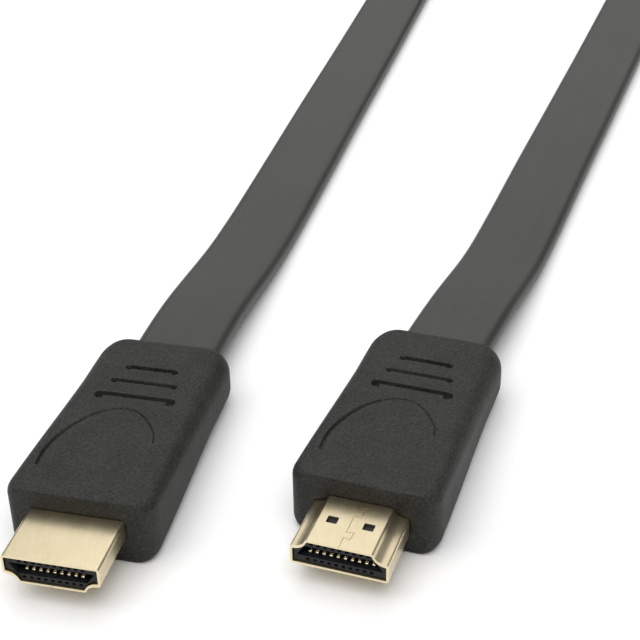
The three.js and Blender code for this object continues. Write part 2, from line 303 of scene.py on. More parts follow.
def make_piece(name: str, points: Array, faces: Sequence[Sequence[int]],
               place: Optional[Matrix] = None, smooth: bool = True) -> bpy.types.Object:
    """Makes a mesh object at the origin from points in millimetres.

    Args:
        name: The piece's name.
        points: Rows of x, y and z in millimetres.
        faces: Rows of point numbers.
        place: Where the points go, a matrix in metres.
        smooth: Whether the faces are shaded smooth.

    Returns:
        The object, with its faces turned outwards.
    """
    mesh = bpy.data.meshes.new(name)
    mesh.from_pydata((np.asarray(points, float) * MM).tolist(), [], [list(f) for f in faces])
    if place is not None:
        mesh.transform(place)
    face_outwards(mesh)
    mesh.polygons.foreach_set("use_smooth", [smooth] * len(mesh.polygons))
    mesh.update()
    piece = bpy.data.objects.new(name, mesh)
    bpy.context.scene.collection.objects.link(piece)
    return piece


def extrude_outline(name: str, outline: Array, low: float, high: float,
                    axis: int = 1) -> bpy.types.Object:
    """Makes a closed bar from an outline.

    Args:
        name: The object's name.
        outline: Rows of the two coordinates across the bar.
        low: Where the bar starts.
        high: Where it ends.
        axis: The axis that the bar runs along, 1 for y or 2 for z.

    Returns:
        The bar as an object.
    """
    count = len(outline)
    points = np.vstack([np.insert(outline, axis, end, axis=1) for end in (low, high)])
    caps = [tuple(range(count)), tuple(range(2 * count - 1, count - 1, -1))]
    return make_piece(name, points, loop_faces(2, count) + caps, smooth=False)


def rounded_box(low: Sequence[float], high: Sequence[float], radius: float,
                steps: int) -> Array:
    """Outline of a rectangle with round corners.

    Args:
        low: Its lowest corner.
        high: Its highest corner.
        radius: Radius of the corners.
        steps: Steps round each corner.

    Returns:
        Rows of two coordinates, from the right side over the top.
    """
    made = []
    for right, top, start in ((1, 1, 0), (0, 1, 90), (0, 0, 180), (1, 0, 270)):
        middle = (high[0] - radius if right else low[0] + radius,
                  high[1] - radius if top else low[1] + radius)
        for k in range(steps + 1):
            a = math.radians(start + 90 / steps * k)
            made.append((middle[0] + radius * math.cos(a), middle[1] + radius * math.sin(a)))
    return np.array(made)


def carve(body: bpy.types.Object, tools: Iterable[bpy.types.Object]) -> None:
    """Cuts tools out of a body, one after the other, and removes them.

    Args:
        body: The object that is cut.
        tools: Closed objects.
    """
    for tool in tools:
        cut = body.modifiers.new("cut", "BOOLEAN")
        cut.operation, cut.solver, cut.object = "DIFFERENCE", "EXACT", tool
        settle(body)
        bpy.data.objects.remove(tool)


def settle(piece: bpy.types.Object) -> None:
    """Applies all modifiers of a piece to its mesh.

    Args:
        piece: The object whose modifiers become part of its mesh.
    """
    seen = piece.evaluated_get(bpy.context.evaluated_depsgraph_get())
    mesh = bpy.data.meshes.new_from_object(seen)
    piece.modifiers.clear()
    piece.data = mesh


def soften(piece: bpy.types.Object, width: float, segments: int = 2,
           angle: float = 30.0) -> None:
    """Rounds the hard edges of a piece.

    Args:
        piece: The object.
        width: Width of the rounding in millimetres.
        segments: Steps across it.
        angle: Smallest angle in degrees between two faces for their edge to be rounded.
    """
    bevel = piece.modifiers.new("soft_edges", "BEVEL")
    bevel.width, bevel.segments = width * MM, segments
    bevel.limit_method, bevel.angle_limit = "ANGLE", math.radians(angle)
    settle(piece)
    shade(piece, 50.0)
    flat = piece.modifiers.new("flat_faces", "WEIGHTED_NORMAL")
    flat.keep_sharp, flat.weight = True, 100
    settle(piece)


def shade(piece: bpy.types.Object, angle: float) -> None:
    """Shades a piece smooth, except across edges sharper than an angle in degrees."""
    piece.data.polygons.foreach_set("use_smooth", [True] * len(piece.data.polygons))
    piece.data.set_sharp_from_angle(angle=math.radians(angle))


def finish_piece(piece: bpy.types.Object, material: bpy.types.Material, slot: str,
                 *nodes: str) -> bpy.types.Object:
    """Gives a piece its material and tells the frame what it stands for.

    Args:
        piece: The object.
        material: Its only material.
        slot: Name of a material slot, only written to the log.
        nodes: CAD nodes that the piece stands for.

    Returns:
        The same object.
    """
    piece.data.materials.clear()
    piece.data.materials.append(material)
    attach(piece, BODY)
    if nodes:
        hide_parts(*nodes)
    LOG.info("%s: %d faces, slot %s", piece.name, len(piece.data.polygons), slot)
    return piece


# Shader node helpers.


def shader_group(name: str, inputs: dict[str, float],
                 outputs: Sequence[str]) -> tuple[bpy.types.NodeTree, Wiring]:
    """Makes an empty shader group whose inputs are a vector and numbers.

    Args:
        name: The group's name.
        inputs: Number sockets and their usual values.
        outputs: Number sockets that the group puts out.

    Returns:
        The group and the wiring for its nodes.
    """
    group = bpy.data.node_groups.new(name, "ShaderNodeTree")
    group.interface.new_socket("Vector", in_out="INPUT", socket_type="NodeSocketVector")
    for key, value in inputs.items():
        made = group.interface.new_socket(key, in_out="INPUT", socket_type="NodeSocketFloat")
        made.default_value = value
    for key in outputs:
        group.interface.new_socket(key, in_out="OUTPUT", socket_type="NodeSocketFloat")
    return group, Wiring(group)


def grain_group() -> bpy.types.NodeTree:
    """Moulded grain: fine pits, with broader patches that are a little smoother.

    Returns:
        A group with Height and Patches outputs.
    """
    group, w = shader_group("moulded_grain", {"Scale": 5000.0, "Patch Scale": 160.0},
                            ["Height", "Patches"])
    enter = w.node("NodeGroupInput")
    leave = w.node("NodeGroupOutput")
    fine = w.node("ShaderNodeTexNoise", {"Vector": enter.outputs["Vector"],
                                         "Scale": enter.outputs["Scale"], "Detail": 2.0,
                                         "Roughness": 0.55})
    cells = w.node("ShaderNodeTexVoronoi", {"Vector": enter.outputs["Vector"],
                                            "Scale": enter.outputs["Scale"]},
                   feature="SMOOTH_F1")
    height = w.math("ADD", w.math("MULTIPLY", fine.outputs[0], 0.7),
                    w.math("MULTIPLY", cells.outputs["Distance"], 0.5))
    broad = w.node("ShaderNodeTexNoise", {"Vector": enter.outputs["Vector"],
                                          "Scale": enter.outputs["Patch Scale"],
                                          "Detail": 3.0})
    group.links.new(height, leave.inputs["Height"])
    group.links.new(broad.outputs[0], leave.inputs["Patches"])
    return group


def rub_group() -> bpy.types.NodeTree:
    """Fine marks that run along Y: rub marks on the plating, rub marks with painted sheen streaks
    on the sheath.

    Returns:
        A group with a Marks output.
    """
    group, w = shader_group("rub_marks", {"Scale": 900.0, "Stretch": 0.06}, ["Marks"])
    enter = w.node("NodeGroupInput")
    leave = w.node("NodeGroupOutput")
    parts = w.node("ShaderNodeSeparateXYZ", {"Vector": enter.outputs["Vector"]})
    joined = w.node("ShaderNodeCombineXYZ", {
        "X": parts.outputs["X"],
        "Y": w.math("MULTIPLY", parts.outputs["Y"], enter.outputs["Stretch"]),
        "Z": parts.outputs["Z"]})
    lines = w.node("ShaderNodeTexNoise", {"Vector": joined.outputs[0],
                                          "Scale": enter.outputs["Scale"],
                                          "Detail": 4.0, "Roughness": 0.6})
    group.links.new(lines.outputs[0], leave.inputs["Marks"])
    return group


@dataclass(frozen=True)
class Shared:
    """The shader groups that several finishes use."""

    grain: bpy.types.NodeTree
    rub: bpy.types.NodeTree

    @staticmethod
    def build() -> "Shared":
        """Makes the groups once."""
        return Shared(grain_group(), rub_group())


Colour = tuple[float, float, float, float]


def grey(red: float, green: float, blue: float) -> Colour:
    """Completes a colour with full opacity."""
    return (red, green, blue, 1.0)


@dataclass(frozen=True)
class Finish:
    """What every finish has: a name and the shared groups."""

    shared: Shared

    def start(self, name: str) -> tuple[bpy.types.Material, Wiring, bpy.types.Node]:
        """Makes an empty node material.

        Args:
            name: The material's name.

        Returns:
            The material, its wiring and its shader node.
        """
        material = bpy.data.materials.new(name)
        material.use_nodes = True
        material.node_tree.nodes.clear()
        w = Wiring(material.node_tree)
        shader = w.node("ShaderNodeBsdfPrincipled")
        w.node("ShaderNodeOutputMaterial", {"Surface": shader.outputs[0]})
        return material, w, shader

    def join(self, w: Wiring, shader: bpy.types.Node, colour: object, roughness: object,
             height: object, relief: float, strength: float) -> None:
        """Feeds a finish's colour, roughness and bump into its shader.

        Args:
            w: The material's wiring.
            shader: The shader node.
            colour: Socket of the base colour.
            roughness: Socket of the roughness.
            height: Socket of the bump's height.
            relief: The bump's depth in metres.
            strength: The bump's strength.
        """
        bump = w.node("ShaderNodeBump", {"Height": height, "Distance": relief,
                                         "Strength": strength})
        for key, socket in (("Base Color", colour), ("Roughness", roughness),
                            ("Normal", bump.outputs[0])):
            w.tree.links.new(socket, shader.inputs[key])

    def group(self, w: Wiring, tree: bpy.types.NodeTree,
              values: dict[str, object]) -> bpy.types.Node:
        """Places a shared group in a material.

        Args:
            w: The material's wiring.
            tree: The group.
            values: The group's inputs.

        Returns:
            The group's node.
        """
        made = w.node("ShaderNodeGroup", node_tree=tree)
        w.feed(made, values)
        return made


@dataclass(frozen=True)
class MouldedPlastic(Finish):
    """Grained black moulding: many fine pits and a soft satin on top."""

    dark: Colour = grey(0.006, 0.0062, 0.005)
    light: Colour = grey(0.040, 0.041, 0.036)
    grain_scale: float = 3000.0
    relief: float = 0.00011

    def build(self) -> bpy.types.Material:
        """Makes the material."""
        material, w, shader = self.start("moulded_plastic")
        where = w.node("ShaderNodeTexCoord").outputs["Object"]
        grain = self.group(w, self.shared.grain, {"Vector": where, "Scale": self.grain_scale,
                                                  "Patch Scale": 190.0})
        tone = w.math("ADD", w.math("MULTIPLY", grain.outputs["Height"], 0.75),
                      w.math("MULTIPLY", grain.outputs["Patches"], 0.35))
        share = w.node("ShaderNodeMapRange", {"Value": tone, "From Min": 0.42,
                                              "From Max": 0.86}).outputs[0]
        self.join(w, shader, w.blend(share, self.dark, self.light),
                  w.span(grain.outputs["Patches"], 0.5, 0.7), grain.outputs["Height"],
                  self.relief, 0.75)
        shader.inputs["Specular IOR Level"].default_value = 0.3
        return material


@dataclass(frozen=True)
class GoldPlating(Finish):
    """Pale gold plating on stamped sheet, with fine rub marks along the plug."""

    name: str = "gold_plating"
    dark: Colour = grey(0.66, 0.54, 0.32)
    light: Colour = grey(0.87, 0.77, 0.55)
    smoothest: float = 0.24
    roughest: float = 0.33

    def build(self) -> bpy.types.Material:
        """Makes the material."""
        material, w, shader = self.start(self.name)
        where = w.node("ShaderNodeTexCoord").outputs["Object"]
        rub = self.group(w, self.shared.rub, {"Vector": where, "Scale": 2600.0,
                                              "Stretch": 0.08})
        grain = self.group(w, self.shared.grain, {"Vector": where, "Scale": 5200.0,
                                                  "Patch Scale": 260.0})
        share = w.math("ADD", w.math("MULTIPLY", rub.outputs["Marks"], 0.6),
                       w.math("MULTIPLY", grain.outputs["Patches"], 0.5))
        self.join(w, shader, w.blend(share, self.dark, self.light),
                  w.span(grain.outputs["Patches"], self.smoothest, self.roughest),
                  rub.outputs["Marks"], 0.000008, 0.35)
        shader.inputs["Metallic"].default_value = 1.0
        return material


@dataclass(frozen=True)
class InsulatorPlastic(Finish):
    """Blue-black moulded block, a little lighter in broad random patches."""

    dark: Colour = grey(0.007, 0.008, 0.010)
    light: Colour = grey(0.018, 0.020, 0.024)

    def build(self) -> bpy.types.Material:
        """Makes the material."""
        material, w, shader = self.start("insulator_plastic")
        where = w.node("ShaderNodeTexCoord").outputs["Object"]
        grain = self.group(w, self.shared.grain, {"Vector": where, "Scale": 6000.0,
                                                  "Patch Scale": 700.0})
        share = w.node("ShaderNodeMapRange", {"Value": grain.outputs["Patches"],
                                              "From Min": 0.35, "From Max": 0.75}).outputs[0]
        self.join(w, shader, w.blend(share, self.dark, self.light), w.span(share, 0.45, 0.6),
                  grain.outputs["Height"], 0.00002, 0.4)
        shader.inputs["Specular IOR Level"].default_value = 0.3
        return material


@dataclass(frozen=True)
class CordSheath(Finish):
    """Satin dark grey sheath; its colour has faint lighter lengthwise streaks, random rub marks
    that are also painted sheen like the sheen over its inner wires.
    """

    dark: Colour = grey(0.019, 0.0195, 0.0165)
    light: Colour = grey(0.033, 0.034, 0.029)

    def build(self) -> bpy.types.Material:
        """Makes the material."""
        material, w, shader = self.start("cord_sheath")
        across = w.node("ShaderNodeAttribute", attribute_name="across").outputs["Fac"]
        along = w.node("ShaderNodeAttribute", attribute_name="along").outputs["Fac"]
        ribbon = w.node("ShaderNodeCombineXYZ", {"X": across, "Y": along}).outputs[0]
        rub = self.group(w, self.shared.rub, {"Vector": ribbon, "Scale": 420.0,
                                              "Stretch": 0.02})
        grain = self.group(w, self.shared.grain, {
            "Vector": w.node("ShaderNodeTexCoord").outputs["Object"], "Scale": 5200.0,
            "Patch Scale": 55.0})
        # Lighter lengthwise streaks mixed into the colour here: random rub marks, which are also
        # painted sheen along the cord.
        share = w.math("ADD", w.math("MULTIPLY", rub.outputs["Marks"], 0.65),
                       w.math("MULTIPLY", grain.outputs["Patches"], 0.35))
        share = w.node("ShaderNodeMapRange", {"Value": share, "From Min": 0.3,
                                              "From Max": 0.7}).outputs[0]
        height = w.math("ADD", w.math("MULTIPLY", grain.outputs["Height"], 0.3),
                        rub.outputs["Marks"])
        self.join(w, shader, w.blend(share, self.dark, self.light),
                  w.span(rub.outputs["Marks"], 0.36, 0.52), height, 0.00002, 0.4)
        return material


@dataclass(frozen=True)
class StrapCloth(Finish):
    """Black looped cloth of the ties, with a woven rib across it."""

    dark: Colour = grey(0.010, 0.010, 0.011)
    light: Colour = grey(0.045, 0.045, 0.047)

    def build(self) -> bpy.types.Material:
        """Makes the material."""
        material, w, shader = self.start("strap_cloth")
        where = w.node("ShaderNodeTexCoord").outputs["Object"]
        grain = self.group(w, self.shared.grain, {"Vector": where, "Scale": 2600.0,
                                                  "Patch Scale": 600.0})
        weave = w.node("ShaderNodeTexWave", {"Vector": where, "Scale": 480.0,
                                             "Distortion": 2.0, "Detail Scale": 3.0},
                       bands_direction="Z")
        height = w.math("ADD", w.math("MULTIPLY", weave.outputs["Fac"], 0.6),
                        grain.outputs["Height"])
        share = w.math("MULTIPLY", height, 0.6)
        self.join(w, shader, w.blend(share, self.dark, self.light), w.span(share, 0.8, 0.95),
                  height, 0.00015, 0.8)
        shader.inputs["Sheen Weight"].default_value = 0.3
        return material


@dataclass(frozen=True)
class Finishes:
    """All materials of the cable."""

    moulding: bpy.types.Material
    shell: bpy.types.Material
    insulator: bpy.types.Material
    contact: bpy.types.Material
    sheath: bpy.types.Material
    strap: bpy.types.Material

    @staticmethod
    def build() -> "Finishes":
        """Makes every material from the shared groups."""
        shared = Shared.build()
        bright = GoldPlating(shared, "contact_plating", grey(0.80, 0.66, 0.38),
                             grey(0.95, 0.86, 0.62), 0.14, 0.26)
        return Finishes(MouldedPlastic(shared).build(), GoldPlating(shared).build(),
                        InsulatorPlastic(shared).build(), bright.build(),
                        CordSheath(shared).build(), StrapCloth(shared).build())


# Camera and studio.


@dataclass(frozen=True)
class Viewpoint:
    """The camera, as worked out from the photograph's two plugs."""

    at: tuple[float, float, float] = (20.14, -168.97, 141.89)
    turn: float = 4.0
    tip: float = 56.16
    roll: float = -1.74
    lens: float = 83.63
    sensor: float = 36.0

    def build(self) -> bpy.types.Object:
        """Makes the camera and takes it into use."""
        data = bpy.data.cameras.new("camera")
        data.lens, data.sensor_width, data.clip_start, data.clip_end = (
            self.lens, self.sensor, 0.01, 20.0)
        camera = bpy.data.objects.new("camera", data)
        bpy.context.scene.collection.objects.link(camera)
        camera.matrix_world = (
            Matrix.Translation(Vector(self.at) * MM)
            @ Matrix.Rotation(math.radians(self.turn), 4, "Z")
            @ Matrix.Rotation(math.radians(self.tip), 4, "X")
            @ Matrix.Rotation(math.radians(self.roll), 4, "Z"))
        bpy.context.scene.camera = camera
        LOG.info("camera at %s mm", self.at)
        return camera


@dataclass(frozen=True)
class Softbox:
    """One large soft light that is aimed at the plugs."""

    name: str
    at: tuple[float, float, float]
    size: float
    power: float

    def build(self) -> None:
        """Makes the light."""
        data = bpy.data.lights.new(self.name, "AREA")
        data.shape, data.size, data.energy = "SQUARE", self.size, self.power
        lamp = bpy.data.objects.new(self.name, data)
        bpy.context.scene.collection.objects.link(lamp)
        lamp.location = self.at
        aim = Vector((0.01, 0.03, 0.0)) - Vector(self.at)
        lamp.rotation_euler = aim.to_track_quat("-Z", "Y").to_euler()


@dataclass(frozen=True)
class Studio:
    """Pale floor, pale surroundings and soft light from above."""

    floor_size: float = 6.0
    floor_tone: float = 0.93
    surroundings: float = 0.3
    lights: tuple[Softbox, ...] = (
        Softbox("overhead", (-0.2, -0.2, 1.6), 2.6, 40.0),
        Softbox("backdrop", (0.1, 1.6, 1.05), 1.5, 5.4),
    )

    def build(self) -> None:
        """Makes the floor, the lights and the world."""
        scene = bpy.context.scene
        scene.view_settings.view_transform = "Standard"
        half = self.floor_size / 2 / MM
        floor = make_piece("floor", np.array([(-half, -half, 0), (half, -half, 0),
                                              (half, half, 0), (-half, half, 0)]), [(0, 1, 2, 3)])
        material = bpy.data.materials.new("floor_paper")
        material.use_nodes = True
        shader = material.node_tree.nodes["Principled BSDF"]
        w = Wiring(material.node_tree)
        fleck = w.node("ShaderNodeTexNoise", {
            "Vector": w.node("ShaderNodeTexCoord").outputs["Object"], "Scale": 6.0})
        tone = w.blend(fleck.outputs[0], grey(*[self.floor_tone] * 3),
                       grey(*[self.floor_tone + 0.01] * 3))
        w.tree.links.new(tone, shader.inputs["Base Color"])
        shader.inputs["Roughness"].default_value = 0.9
        shader.inputs["Specular IOR Level"].default_value = 0.1
        floor.data.materials.append(material)
        for light in self.lights:
            light.build()
        world = bpy.data.worlds.new("studio")
        world.use_nodes = True
        back = world.node_tree.nodes["Background"]
        back.inputs["Color"].default_value = grey(1.0, 1.0, 1.0)
        back.inputs["Strength"].default_value = self.surroundings
        scene.world = world


# Cord.

Row = tuple[float, float, float, float]

LEAD_A: tuple[Row, ...] = (
    (-18.6, 15.93, 2.92, 0), (-17.25, 23.31, 2.75, 0), (-14.37, 37.78, 2.35, 0),
    (-9.17, 59.68, 0.55, 0), (-5.57, 76.28, 0, 0), (-2.07, 92.88, 0, 0), (3.43, 119.28, 0, 0),
    (9.73, 148.68, 0, 0), (17.93, 187.78, 0, 0), (22.73, 211.28, 0, 0), (27.73, 234.78, 0, 0),
    (31.33, 251.38, 0, 0), (34.43, 265.98, 0, 18), (37.53, 280.68, 0, 46), (40.73, 295.38, 0, 72),
    (43.63, 309.08, 0, 88), (46.23, 321.48, 0, 90), (50.33, 331.58, 0.1, 90),
    (57.53, 339.58, 0.3, 90), (67.13, 344.58, 0.6, 90), (77.73, 346.08, 1.0, 90),
    (88.33, 343.78, 1.4, 90), (97.33, 337.68, 1.8, 90))
LEAD_B: tuple[Row, ...] = (
    (23.6, 18.75, 2.92, 0), (25.7, 25.95, 2.75, 0), (30.83, 40.18, 2.35, 0),
    (37.13, 57.68, 0.55, 0), (42.53, 74.78, 0, 0), (47.83, 91.98, 0, 0), (56.23, 118.58, 0, 0),
    (65.83, 149.08, 0, 0), (78.23, 188.98, 0, 0), (82.33, 201.38, 0, 14), (86.73, 213.98, 0, 42),
    (91.73, 226.98, 0.1, 70), (98.03, 240.58, 0.4, 88), (105.13, 256.18, 1.1, 90))


@dataclass(frozen=True)
class Coil:
    """The spare cord, wound on edge in a flat spiral from the inside out."""

    centre: tuple[float, float] = (46.53, 310.88)
    inner_radius: float = 61.3
    pitch: float = 5.0
    start: float = 8.0
    end: float = -1098.0
    step: float = 15.0
    lift: float = 2.4
    slope: float = 0.01407
    entry: Row = (104.03, 329.58, 2.1, 90)
    leave: Row = (111.43, 268.58, 1.8, 90)

    def radius(self, angle: float) -> float:
        """Distance of the cord's middle from the coil's at an angle in degrees."""
        return self.inner_radius + self.pitch * (self.start - angle) / 360

    def lift_at(self, y: float) -> float:
        """Height of the turns' lower edge, higher at the front, where a lead lies under them."""
        return self.lift - self.slope * (y - self.centre[1])

    def rows(self) -> list[Row]:
        """Points of the spiral, in order from the lead of plug A."""
        count = round((self.start - self.end) / self.step)
        made = [self.entry]
        for k in range(1, count):
            angle = self.start + (self.end - self.start) * k / count
            radius = self.radius(angle)
            x = self.centre[0] + radius * math.cos(math.radians(angle))
            y = self.centre[1] + radius * math.sin(math.radians(angle))
            made.append((x, y, self.lift_at(y), 90))
        return [*made, self.leave]


@dataclass
class RibbonCord:
    """One flat cord from plug A through the coil to plug B."""

    width: float = 14.2
    thickness: float = 3.0
    free_length: float = 2000.0
    step: float = 2.6
    rib_height: float = 0.055
    ribs: tuple[float, ...] = (-2.35, 2.15)
    coil: Coil = field(default_factory=Coil)

    def section(self) -> Array:
        """Outline across the cord: flat faces with two faint ribs, and round edges.

        Returns:
            Rows of width and thickness, all the way round.
        """
        half, reach = self.thickness / 2, (self.width - self.thickness) / 2
        top = np.linspace(-reach, reach, 29)
        height = np.full(top.shape, half - self.rib_height)
        for rib in self.ribs:
            height += self.rib_height * np.exp(-(((top - rib) / 0.62) ** 2))
        height += self.rib_height * smooth_step(reach - 0.9, reach, np.abs(top))
        turn = np.linspace(90, -90, 9)[1:-1]
        right = np.stack([reach + half * np.cos(np.radians(turn)),
                          half * np.sin(np.radians(turn))], 1)
        upper = np.stack([top, height], 1)
        return np.vstack([upper, right, upper[::-1] * [1, -1], right[::-1] * [-1, 1]])

    def samples(self) -> Array:
        """Rows of x, y, z and roll along the whole cord, in millimetres and degrees."""
        back = [(x, y, lift, 180 - roll) for x, y, lift, roll in reversed(LEAD_B)]
        path = spline(np.array([*LEAD_A, *self.coil.rows(), *back]), self.step)
        lift, roll = np.maximum(path[:, 2], 0.02), np.clip(path[:, 3], 0, 180)
        reach = (self.width - self.thickness) / 2
        height = lift + self.thickness / 2 + reach * np.sin(np.radians(roll))
        return np.column_stack([path[:, :2], height, roll])

    def sweep_tree(self) -> bpy.types.NodeTree:
        """Geometry Nodes tree that draws the cord's outline along its route.

        Returns:
            The tree, with Route, Outline and Finish inputs.
        """
        tree, w = nodes_tree("ribbon_sweep", {"Route": "Object", "Outline": "Object",
                                              "Finish": "Material"})
        enter, leave = w.node("NodeGroupInput"), w.node("NodeGroupOutput")
        curves = []
        for key in ("Route", "Outline"):
            seen = w.node("GeometryNodeObjectInfo", {"Object": enter.outputs[key]})
            curves.append(w.node("GeometryNodeMeshToCurve", {0: seen.outputs["Geometry"]}))
        upright = w.node("GeometryNodeSetCurveNormal", {"Curve": curves[0].outputs[0]},
                         mode="Z_UP")
        tilt = w.node("GeometryNodeInputNamedAttribute", {"Name": "tilt"}, data_type="FLOAT")
        rolled = w.node("GeometryNodeSetCurveTilt", {"Curve": upright.outputs[0],
                                                     "Tilt": tilt.outputs["Attribute"]})
        swept = w.node("GeometryNodeCurveToMesh", {
            "Curve": rolled.outputs[0], "Profile Curve": curves[1].outputs[0],
            "Fill Caps": True})
        real = w.node("GeometryNodeRealizeInstances", {0: swept.outputs[0]})
        dressed = w.node("GeometryNodeSetMaterial", {"Geometry": real.outputs[0],
                                                     "Material": enter.outputs["Finish"]})
        tree.links.new(dressed.outputs[0], leave.inputs[0])
        return tree

    def build(self, finish: bpy.types.Material,
              ties: Sequence[bpy.types.Object]) -> bpy.types.Object:
        """Args:
            finish: The sheath's material.
            ties: The straps that hold its coil; not used.

        Returns:
            The cord.
        """
        samples = self.samples()
        centre, roll = samples[:, :3], np.radians(samples[:, 3])
        steps = np.linalg.norm(np.diff(centre, axis=0), axis=1)
        travel = np.concatenate([[0], np.cumsum(steps)]) * MM
        section = self.section()
        flat = np.column_stack([section[:, 0], -section[:, 1], np.zeros(len(section))])
        route = make_wire("cord_route", centre, False, tilt=-roll, along=travel)
        outline = make_wire("cord_outline", flat, True, across=section[:, 0] * MM)
        cord = make_piece("ribbon_cord", np.zeros((0, 3)), [])
        grow(cord, self.sweep_tree(), {"Route": route, "Outline": outline, "Finish": finish})
        for wire in (route, outline):
            bpy.data.objects.remove(wire)
        face_outwards(cord.data)
        shade(cord, 50.0)
        finish_piece(cord, finish, "cord_sheath", "cord_from_plug_a", "cord_from_plug_b",
                     "cord_coil")
        LOG.info("cord path %.3f m", travel[-1])
        return cord


@dataclass(frozen=True)
class Tie:
    """A closed cloth strap round the coil's turns."""

    number: int
    angle: float
    width: float = 12.0
    thickness: float = 1.0
    clearance: float = 0.35
    cord_width: float = 14.2
    half_cord: float = 1.5
    corner: float = 1.3
    edge: float = 0.3
    edge_inset: float = 0.09
    ridge: float = 0.07
    step: float = 0.9

    def outline(self, coil: Coil) -> Array:
        """Middle line of the strap across the turns, as radius and height.

        Args:
            coil: The coil that the strap holds.

        Returns:
            Rows of radius and height, with rounded corners, all the way round.
        """
        inner = coil.inner_radius - self.half_cord
        sag = inner - math.sqrt(inner**2 - (self.width / 2) ** 2)
        gap = self.clearance + self.thickness / 2
        outer = coil.radius(coil.end) + self.half_cord
        x0, x1 = inner - sag - gap, outer + gap
        z0, z1 = -gap, self.cord_width + gap
        return rounded_box((x0, z0), (x1, z1), self.corner, 6)

    def section(self) -> list[tuple[float, float]]:
        """Outline across the strap, as width and thickness, with rounded edges."""
        half, reach = self.thickness / 2, self.width / 2
        across = np.linspace(-1, 1, 15) * (reach - self.edge)
        edge = [(reach - self.edge_inset, half * 0.7), (reach, 0),
                (reach - self.edge_inset, -half * 0.7)]
        return [*((u, half) for u in across), *edge, *((-u, -half) for u in across),
                *((-u, -z) for u, z in edge)]

    def build(self, coil: Coil, finish: bpy.types.Material) -> bpy.types.Object:
        """Makes the strap and its ribs.

        Args:
            coil: The coil that the strap holds.
            finish: The strap's cloth.

        Returns:
            The strap.
        """
        ring = self.outline(coil)
        closed = np.column_stack([np.vstack([ring, ring[:1]]), np.zeros(len(ring) + 1)])
        path = spline(closed, self.step)[:-1, :2]
        count = len(path)
        ahead = np.roll(path, -1, 0) - np.roll(path, 1, 0)
        ahead /= np.linalg.norm(ahead, axis=1)[:, None]
        out = np.stack([ahead[:, 1], -ahead[:, 0]], 1)
        section, rows = self.section(), []
        for k in range(count):
            ridge = self.ridge * math.cos(k * math.pi)
            for across, up in section:
                lift = up + (ridge if up > self.edge else 0)
                r, z = path[k] + out[k] * lift
                rows.append((r, across, z))
        faces = loop_faces(count, len(section))
        first = (count - 1) * len(section)
        faces += [(first + k, first + (k + 1) % len(section), (k + 1) % len(section), k)
                  for k in range(len(section))]
        tip = -math.atan(coil.slope)
        place = (Matrix.Translation(Vector((*coil.centre, coil.lift)) * MM)
                 @ Matrix.Rotation(tip, 4, "X")
                 @ Matrix.Rotation(math.radians(self.angle), 4, "Z"))
        strap = make_piece(f"tie_strap_{self.number}", np.array(rows), faces, place)
        return finish_piece(strap, finish, "tie_strap", f"coil_tie_{self.number}")


# Plugs.


@dataclass(frozen=True)
class Place:
    """Where a plug lies, and which face of its shell is up."""

    at: tuple[float, float]
    yaw: float
    up: FaceUp
    front_height: float = 10.4
    rear_height: float = 8.5
    length: float = 41.1

    def matrix(self) -> Matrix:
        """Turns the plug's own millimetre frame, already scaled to metres, into the cable's."""
        tilt = math.atan((self.front_height - self.rear_height) / 2 / self.length)
        middle = self.front_height / 2 * math.cos(tilt)
        flip = math.pi if self.up is FaceUp.NARROW else 0.0
        return (Matrix.Translation(Vector((*self.at, middle)) * MM)
                @ Matrix.Rotation(-math.radians(self.yaw), 4, "Z")
                @ Matrix.Rotation(-tilt, 4, "X") @ Matrix.Rotation(flip, 4, "Y"))


@dataclass(frozen=True)
class ShellOutline:
    """The D-like outline of the plug's shell, with the wide face up."""

    width: float = 13.9
    height: float = 4.45
    narrow_width: float = 9.8
    side_height: float = 2.65
    corner: float = 0.5

    def points(self, inset: float, steps: int = 7) -> Array:
        """Outline in x and z, drawn inwards by a distance.

        Args:
            inset: Distance inwards, negative to grow it.
            steps: Points on each rounded corner.

        Returns:
            Rows of x and z.
        """
        half, top = self.width / 2 - inset, self.height / 2 - inset
        narrow = self.narrow_width / 2 - inset * 0.8
        side = self.height / 2 - self.side_height + inset * 0.45
        r = max(self.corner - inset, 0.12)
        right = [((half - r, top), (half, top), (half, top - r)),
                 ((half, side), (half, side - r), (half - r * 0.9, side - r)),
                 ((half - r * 0.9, side - r), (narrow + 0.5, side - r - 0.1),
                  (narrow, -top + r)),
                 ((narrow, -top + r), (narrow - 0.12, -top), (narrow - r, -top))]
        made: list[tuple[float, float]] = []
        for a, b, c in right:
            for k in range(steps):
                t = k / (steps - 1)
                point = tuple((1 - t) ** 2 * a[i] + 2 * t * (1 - t) * b[i] + t * t * c[i]
                              for i in (0, 1))
                if not made or math.dist(made[-1], point) > 1e-6:
                    made.append(point)
        return np.array(made + [(-x, z) for x, z in reversed(made)])


